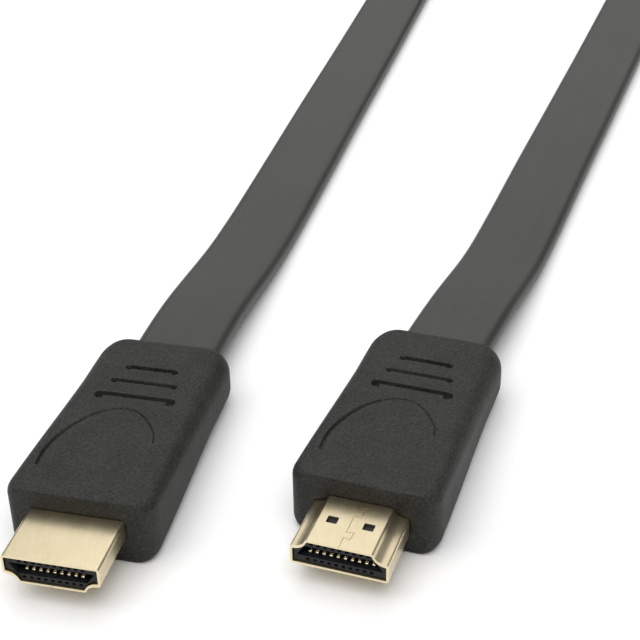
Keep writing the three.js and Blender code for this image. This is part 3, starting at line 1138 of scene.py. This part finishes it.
@dataclass(frozen=True)
class Relief:
    """Grooves and the arch line in a face of the moulding."""

    groove_ends: tuple[float, ...] = (8.1, 10.2, 12.3)
    first: float = 32.5
    spacing: float = 3.85
    groove_width: float = 0.82
    groove_depth: float = 0.95
    groove_wall: tuple[float, float] = (-0.16, 0.07)
    end_inset: float = 0.4
    hooks: tuple[float, ...] = (0.3, 0.3, 0.74)
    curl: float = 0.35
    curl_drop: float = 0.1
    bulge: float = 0.12
    arch_half_width: tuple[float, float] = (0.30, 0.09)
    arch_depth: tuple[float, float] = (0.5, 0.2)
    arch_span: tuple[float, float] = (3.0, 22.0)
    arch: tuple[tuple[float, float], ...] = (
        (-8.0, 5.7), (-8.25, 9.4), (-7.6, 13.25), (-6.1, 17.0), (-4.2, 19.65),
        (-1.5, 21.35), (1.2, 21.3), (3.1, 19.95), (4.8, 17.9), (6.0, 15.7), (6.5, 13.0))

    def near_groove(self, y: float) -> bool:
        """Whether a distance from the front face lies at one of the grooves."""
        rows = (self.first - k * self.spacing for k in range(len(self.groove_ends)))
        return any(row - 1.5 < y < row + 0.7 for row in rows)

    def grooves(self) -> list[Array]:
        """Middle lines of the grooves, with their hooked ends."""
        made = []
        for row, (length, hook) in enumerate(zip(self.groove_ends, self.hooks)):
            y, end = self.first - row * self.spacing, length / 2 - self.end_inset
            curled = row == len(self.groove_ends) - 1
            turn = [(end - self.curl * curled, y - hook - self.curl_drop * curled),
                    (end, y - hook), (end + self.bulge, y - hook / 2), (end, y - 0.08),
                    (end - self.curl, y)]
            made.append(np.array([(-a, b) for a, b in turn] + turn[::-1]))
        return made

    def depth(self, x: Array, y: Array) -> Array:
        """How deep the face is cut at each point.

        Args:
            x: Places across the face.
            y: Places along it, from the front.

        Returns:
            Depths in millimetres.
        """
        deep = np.zeros(x.shape)
        inner, outer = (self.groove_width / 2 + wall for wall in self.groove_wall)
        for path in self.grooves():
            near = np.abs(y - path[:, 1].mean()) < self.spacing / 2
            gap, _ = path_distance(x[near], y[near], path)
            wall = 1 - smooth_step(inner, outer, gap)
            deep[near] = np.maximum(deep[near], self.groove_depth * wall)
        line = spline(np.column_stack([self.arch, np.zeros(len(self.arch))]), 0.35)[:, :2]
        near = (y > self.arch_span[0]) & (y < self.arch_span[1])
        gap, share = path_distance(x[near], y[near], line)
        (wide, thin), (full, shallow) = self.arch_half_width, self.arch_depth
        half_line = wide + (thin - wide) * smooth_step(0.15, 0.95, share)
        fade = smooth_step(0, 0.03, share) * (1 - smooth_step(0.93, 1.0, share))
        cut = (full + (shallow - full) * smooth_step(0.3, 1.0, share)) * fade
        wall = 1 - smooth_step(0.35, 1.15, gap / half_line)
        deep[near] = np.maximum(deep[near], cut * wall)
        return deep


@dataclass
class Moulding:
    """The grip: a grained block with rounded shoulders, seats for the shell and the cord."""

    length: float = 41.1
    front_width: float = 21.8
    waist_width: float = 21.3
    shoulder_width: float = 21.4
    front_height: float = 10.4
    rear_height: float = 8.5
    nose_radius: float = 3.0
    nose_draw: float = 0.62
    lip_radius: float = 0.35
    shoulder_radius: float = 4.3
    shoulder_draw: float = 0.66
    rear_round: float = 1.6
    front_edge: float = 1.7
    rear_edge: float = 3.1
    flare_end: float = 6.0
    waist_at: float = 29.0
    shoulder_at: float = 34.6
    seat: float = 0.12
    shell_seat: float = 6.12
    cord_seat: float = 7.85
    cell: float = 0.14
    groove_cell: float = 0.1
    flat_span: float = 17.6
    corner_steps: int = 10
    side_points: int = 7
    relief: Relief = field(default_factory=Relief)
    outline: ShellOutline = field(default_factory=ShellOutline)

    def half_width(self, y: Array) -> Array:
        """Half the grip's width at each distance from its front face."""
        waist = smooth_step(self.flare_end, self.waist_at, y)
        body = self.front_width + (self.waist_width - self.front_width) * waist
        hips = smooth_step(self.waist_at, self.shoulder_at, y)
        body = body + (self.shoulder_width - self.waist_width) * hips
        nose = round_off(self.nose_radius, self.nose_radius - y) * self.nose_draw
        rear = round_off(self.shoulder_radius, y - self.length + self.shoulder_radius)
        return body / 2 - nose - rear * self.shoulder_draw

    def half_height(self, y: Array) -> Array:
        """Half the grip's height at each distance from its front face."""
        share = y / self.length
        body = self.front_height + (self.rear_height - self.front_height) * share
        lip = round_off(self.lip_radius, self.lip_radius - y)
        rear = round_off(self.rear_round, y - self.length + self.rear_round)
        return body / 2 - lip - rear * 0.75

    def edge_radius(self, y: Array) -> Array:
        """Radius of the long edges at each distance from the front face."""
        share = np.minimum(y / self.waist_at, 1.0)
        return self.front_edge + (self.rear_edge - self.front_edge) * share

    def stations(self) -> Array:
        """Distances from the front face of the grip's rings."""
        lip = self.lip_radius * (1 - np.cos(np.radians(np.arange(0, 90, 18))))
        nose = np.array([0.35, 0.5, 0.75, 1.05, 1.4, 1.9, 2.5, 3.0, 3.7])
        middle, y = [], 4.4
        while y < self.shoulder_at:
            middle.append(y)
            y += self.groove_cell if self.relief.near_groove(y) else self.cell
        start = self.length - self.shoulder_radius
        hips = np.linspace(middle[-1] + 0.3, start, 6, endpoint=False)
        bend = start + self.shoulder_radius * np.sin(np.radians(np.arange(0, 91, 5)))
        return np.concatenate([lip, nose, middle, hips, bend])

    def ring(self, y: float) -> Array:
        """One closed ring of the grip, from the right over the top to the left and back.

        Args:
            y: Distance from the front face.

        Returns:
            Rows of x, y and z.
        """
        w, h = float(self.half_width(y)), float(self.half_height(y))
        r = min(float(self.edge_radius(y)), h - 0.05)
        angles = np.radians(np.linspace(0, 90, self.corner_steps + 1))
        side = np.linspace(-(h - r), h - r, self.side_points)
        right = np.column_stack([np.full(len(side), w), side])
        corner = np.column_stack([w - r + r * np.cos(angles[1:]), h - r + r * np.sin(angles[1:])])
        x = np.linspace(1, -1, int(self.flat_span / self.cell))[1:-1] * (w - r)
        upper = np.vstack([right, corner, np.column_stack([x, np.full(x.shape, h)]),
                           corner[::-1] * [-1, 1]])
        whole = np.vstack([upper, -upper])
        return np.column_stack([whole[:, 0], np.full(len(whole), y), whole[:, 1]])

    def seat_ring(self, outline: Array, ring: Array, y: float) -> Array:
        """Points of a seat's outline, one straight inwards from each point of a ring.

        Args:
            outline: Rows of x and z.
            ring: Rows of x, y and z.
            y: Distance from the front face that the points get.

        Returns:
            Rows of x, y and z.
        """
        closed = np.vstack([outline, outline[:1]])
        dense = np.vstack([a + (b - a) * np.linspace(0, 1, 40, endpoint=False)[:, None]
                           for a, b in zip(closed[:-1], closed[1:])])
        angles = np.arctan2(dense[:, 1], dense[:, 0])
        order = np.argsort(angles)
        reach = np.hypot(dense[:, 0], dense[:, 1])[order]
        wanted = np.arctan2(ring[:, 2], ring[:, 0])
        r = np.interp(wanted, angles[order], reach, period=2 * math.pi)
        return np.column_stack([r * np.cos(wanted), np.full(len(ring), y), r * np.sin(wanted)])

    def cord_outline(self, cord: RibbonCord) -> Array:
        """Outline of the cord's seat in x and z."""
        r, reach = cord.thickness / 2 + self.seat, (cord.width - cord.thickness) / 2
        a = np.radians(np.linspace(-90, 90, 15))
        right = np.column_stack([reach + r * np.cos(a), r * np.sin(a)])
        return np.vstack([right, -right])

    def build(self, name: str, place: Matrix, cord: RibbonCord,
              finish: bpy.types.Material) -> bpy.types.Object:
        """Makes the grip.

        Args:
            name: The plug's name, as its CAD nodes have it.
            place: The plug's place.
            cord: The cord that enters the grip.
            finish: The grained plastic.

        Returns:
            The grip.
        """
        rings = np.array([self.ring(y) for y in self.stations()])
        w = self.half_width(rings[:, 0, 1])[:, None]
        h = self.half_height(rings[:, 0, 1])[:, None]
        r = self.edge_radius(rings[:, 0, 1])[:, None]
        x, y, z = rings[..., 0], rings[..., 1], rings[..., 2]
        on_face = (np.abs(z) > h - 1e-6) & (np.abs(x) < w - r + 0.6)
        side = np.sign(z)
        cut = self.relief.depth(x * side, y)
        rings[..., 2] -= np.where(on_face, side * cut, 0)
        count = rings.shape[1]
        mouth = self.seat_ring(self.outline.points(-self.seat), rings[0], 0.0)
        lead_in = [mouth + (rings[0] - mouth) * s for s in (0.0, 0.25, 0.5, 0.75)]
        front = [mouth + [0, self.shell_seat, 0], *lead_in]
        exit_ring = self.seat_ring(self.cord_outline(cord), rings[-1], self.length)
        rear = [exit_ring + (rings[-1] - exit_ring) * s for s in (0.6, 0.3, 0.0)]
        rear.append(exit_ring - [0, self.cord_seat, 0])
        rows = np.array([*front, *rings, *rear])
        points = rows.reshape(-1, 3)
        faces = loop_faces(len(rows), count)
        last = (len(rows) - 1) * count
        faces += [tuple(range(count)), tuple(range(last, last + count))]
        grip = make_piece(f"{name}_grip", points, faces, place)
        shade(grip, 50.0)
        return finish_piece(grip, finish, "moulding", f"{name}_moulding")


@dataclass
class Shell:
    """Stamped and folded sheet round the plug's mouth."""

    outline: ShellOutline = field(default_factory=ShellOutline)
    sheet: float = 0.35
    exposed: float = 9.95
    seated: float = 6.0
    window_width: float = 1.55
    window_length: float = 1.4
    window_spread: float = 5.16
    window_from_grip: float = 4.87
    window_corner: float = 0.12
    window_through: float = 0.04
    seam_width: float = 0.07
    seam_depth: float = 0.26
    overcut: float = 0.3
    edge_round: float = 0.045

    def seam_path(self) -> list[tuple[float, float]]:
        """The folded seam on the narrow face, with its two dovetails, from mouth to seat."""
        return [(0, -self.exposed - 1), (0, -7.8), (-0.95, -8.05), (-1.08, -6.5), (0, -6.75),
                (0, -3.2), (-1.0, -3.4), (-1.12, -1.25), (0, -1.5), (0, self.seated + 1)]

    def seam_tools(self) -> list[bpy.types.Object]:
        """One thin bar for each stretch of the seam."""
        face, made, path = -self.outline.height / 2, [], self.seam_path()
        for k, (a, b) in enumerate(zip(path[:-1], path[1:])):
            along = Vector((b[0] - a[0], b[1] - a[1])).normalized()
            side = Vector((-along.y, along.x)) * self.seam_width / 2
            grow = along * self.seam_width / 2
            corners = [Vector(a) - grow + side, Vector(b) + grow + side,
                       Vector(b) + grow - side, Vector(a) - grow - side]
            made.append(extrude_outline(f"seam_{k}", np.array(corners), face - self.overcut,
                                        face + self.seam_depth, axis=2))
        return made

    def window_tools(self) -> list[bpy.types.Object]:
        """A bar with rounded corners for each latch window."""
        face, made = -self.outline.height / 2, []
        half = np.array([self.window_width, self.window_length]) / 2
        for side in (-1, 1):
            middle = np.array([side * self.window_spread / 2, -self.window_from_grip])
            ring = rounded_box(middle - half, middle + half, self.window_corner, 3)
            made.append(extrude_outline(f"window_{side}", ring, face - self.overcut,
                                        face + self.sheet + self.window_through, axis=2))
        return made

    def build(self, name: str, place: Matrix, finish: bpy.types.Material) -> bpy.types.Object:
        """Makes the shell.

        Args:
            name: The plug's name, as its CAD nodes have it.
            place: The plug's place.
            finish: The plating.

        Returns:
            The shell.
        """
        shell = extrude_outline(f"{name}_plated_shell", self.outline.points(0),
                                -self.exposed, self.seated)
        hollow = extrude_outline("hollow", self.outline.points(self.sheet),
                                 -self.exposed - 1, self.seated + 1)
        carve(shell, [hollow, *self.window_tools(), *self.seam_tools()])
        soften(shell, self.edge_round)
        shell.data.transform(place)
        return finish_piece(shell, finish, "plated_shell", f"{name}_shell")


@dataclass
class Insulator:
    """The block inside the shell, with the tongue's slot and rows of square holes."""

    outline: ShellOutline = field(default_factory=ShellOutline)
    sheet: float = 0.35
    clearance: float = 0.08
    front: float = -9.6
    back: float = 5.4
    slot_height: float = 1.7
    slot_top: float = 12.2
    slot_bottom: float = 9.9
    slot_depth: float = 9.0
    pitch: float = 1.0
    hole_width: float = 0.52
    hole_height: float = 0.46
    hole_rim: float = 0.26
    hole_depth: float = 1.4

    def hole_tools(self, side: Side, count: int) -> list[bpy.types.Object]:
        """Square bars for one row of holes.

        Args:
            side: The wall that the row is in.
            count: Number of holes.

        Returns:
            The bars.
        """
        half = self.slot_height / 2
        low, high = sorted((side.value * (half + self.hole_rim),
                            side.value * (half + self.hole_rim + self.hole_height)))
        made = []
        for k in range(count):
            x = (k - (count - 1) / 2) * self.pitch
            ring = np.array([(x - self.hole_width / 2, low), (x + self.hole_width / 2, low),
                             (x + self.hole_width / 2, high), (x - self.hole_width / 2, high)])
            made.append(extrude_outline(f"hole_{k}", ring, self.front - 1,
                                        self.front + self.hole_depth))
        return made

    def build(self, name: str, place: Matrix, finish: bpy.types.Material) -> bpy.types.Object:
        """Makes the block.

        Args:
            name: The plug's name, as its CAD nodes have it.
            place: The plug's place.
            finish: The block's plastic.

        Returns:
            The block.
        """
        block = extrude_outline(f"{name}_block", self.outline.points(
            self.sheet + self.clearance), self.front, self.back)
        half = self.slot_height / 2
        slot = extrude_outline("slot", np.array([
            (self.slot_top / 2, half), (-self.slot_top / 2, half),
            (-self.slot_bottom / 2, -half), (self.slot_bottom / 2, -half)]),
            self.front - 1, self.front + self.slot_depth)
        carve(block, [slot, *self.hole_tools(Side.WIDE, 10), *self.hole_tools(Side.NARROW, 9)])
        soften(block, 0.05)
        block.data.transform(place)
        return finish_piece(block, finish, "insulator", f"{name}_insulator")


@dataclass
class ContactRows:
    """Spring contacts on both walls of the slot, repeated by Geometry Nodes."""

    pitch: float = 1.0
    counts: tuple[tuple[Side, int], ...] = ((Side.WIDE, 10), (Side.NARROW, 9))
    width: float = 0.46
    thickness: float = 0.18
    length: float = 6.4
    bulge: float = 0.42
    start: float = -8.7
    wall: float = 0.81
    nose: tuple[tuple[float, float, float], ...] = (
        (-0.12, 0, -0.10), (0.25, -1, 0.12), (0.75, -1, 0.02), (1.3, -1, 0.14),
        (2.1, 0, -0.16), (3.2, 0, -0.09))
    tree: Optional[bpy.types.NodeTree] = None

    def strip(self) -> bpy.types.Object:
        """One contact on the upper wall: a strip whose rounded nose dips into the slot."""
        nose = [(y, drop * self.bulge + rest, 0) for y, drop, rest in self.nose]
        line = spline(np.array([*nose, (self.length, self.nose[-1][2], 0)]), 0.25)[:, :2]
        half = self.thickness / 2 - 0.005
        section = ((1, 0.6), (0.8, 1), (-0.8, 1), (-1, 0.6))
        section += tuple((-x, -z) for x, z in section)
        count = len(section)
        points = [(x * self.width / 2, self.start + y, self.wall + drop + z * half)
                  for y, drop in line for x, z in section]
        last = (len(line) - 1) * count
        faces = [*loop_faces(len(line), count), tuple(range(count)),
                 tuple(range(last, last + count))]
        return make_piece("one_contact", np.array(points), faces)

    def row_tree(self) -> bpy.types.NodeTree:
        """Geometry Nodes tree that sets copies of a contact in a row.

        Returns:
            The tree, with Contact, Count, Pitch, Turn and Finish inputs.
        """
        tree, w = nodes_tree("contact_row", {"Contact": "Object", "Count": "Int",
                                             "Pitch": "Float", "Turn": "Float",
                                             "Finish": "Material"})
        enter, leave = w.node("NodeGroupInput"), w.node("NodeGroupOutput")
        pick = w.node("GeometryNodeObjectInfo", {"Object": enter.outputs["Contact"]})
        gaps = w.math("SUBTRACT", enter.outputs["Count"], 1.0)
        first = w.math("MULTIPLY", w.math("MULTIPLY", gaps, -0.5), enter.outputs["Pitch"])
        line = w.node("GeometryNodeMeshLine", {
            "Count": enter.outputs["Count"],
            "Start Location": w.node("ShaderNodeCombineXYZ", {"X": first}).outputs[0],
            "Offset": w.node("ShaderNodeCombineXYZ", {"X": enter.outputs["Pitch"]}).outputs[0]},
            mode="OFFSET")
        turn = w.node("ShaderNodeCombineXYZ", {"Y": enter.outputs["Turn"]}).outputs[0]
        copies = w.node("GeometryNodeInstanceOnPoints", {
            "Points": line.outputs[0], "Instance": pick.outputs["Geometry"],
            "Rotation": turn})
        real = w.node("GeometryNodeRealizeInstances", {0: copies.outputs[0]})
        dressed = w.node("GeometryNodeSetMaterial", {"Geometry": real.outputs[0],
                                                     "Material": enter.outputs["Finish"]})
        tree.links.new(dressed.outputs[0], leave.inputs[0])
        return tree

    def build(self, name: str, place: Matrix, finish: bpy.types.Material) -> None:
        """Makes both rows of a plug.

        Args:
            name: The plug's name, as its CAD nodes have it.
            place: The plug's place.
            finish: The contacts' plating.
        """
        tree = self.tree or self.row_tree()
        self.tree = tree
        contact, number = self.strip(), 1
        for side, count in self.counts:
            row = make_piece(f"{name}_contacts_{side.name.lower()}", np.zeros((0, 3)), [])
            grow(row, tree, {"Contact": contact, "Count": count, "Pitch": self.pitch * MM,
                             "Turn": 0.0 if side is Side.WIDE else math.pi, "Finish": finish})
            row.data.transform(place)
            nodes = [f"{name}_contact_{k:02d}" for k in range(number, number + count)]
            finish_piece(row, finish, "contacts", *nodes)
            number += count
        bpy.data.objects.remove(contact)


@dataclass
class Plug:
    """One plug with all its pieces."""

    name: str
    place: Place
    moulding: Moulding = field(default_factory=Moulding)
    shell: Shell = field(default_factory=Shell)
    insulator: Insulator = field(default_factory=Insulator)

    def build(self, finishes: Finishes, cord: RibbonCord, contacts: ContactRows) -> None:
        """Makes the plug.

        Args:
            finishes: The cable's materials.
            cord: The cord that enters the plug.
            contacts: What makes the plug's contacts.
        """
        place = self.place.matrix()
        self.moulding.build(self.name, place, cord, finishes.moulding)
        self.shell.build(self.name, place, finishes.shell)
        self.insulator.build(self.name, place, finishes.insulator)
        contacts.build(self.name, place, finishes.contact)


PLUGS = (Plug("plug_a", Place((-24.67, -17.12), 10.4, FaceUp.WIDE)),
         Plug("plug_b", Place((14.23, -13.52), 16.2, FaceUp.NARROW)))
TIE_ANGLES = (62.0, 150.0)


def corners(box: tuple[Vector, Vector]) -> list[list[float]]:
    """A box as plain lists of numbers."""
    return [list(map(float, corner)) for corner in box]


def main() -> None:
    """Builds the whole scene in order."""
    logging.basicConfig(level=logging.INFO, format="%(name)s: %(message)s")
    Viewpoint().build()
    finishes = Finishes.build()
    cord = RibbonCord()
    ties = [Tie(k + 1, angle).build(cord.coil, finishes.strap)
            for k, angle in enumerate(TIE_ANGLES)]
    cord.build(finishes.sheath, ties)
    contacts = ContactRows()
    for plug in PLUGS:
        plug.build(finishes, cord, contacts)
    Studio().build()


if __name__ == "__main__":
    main()
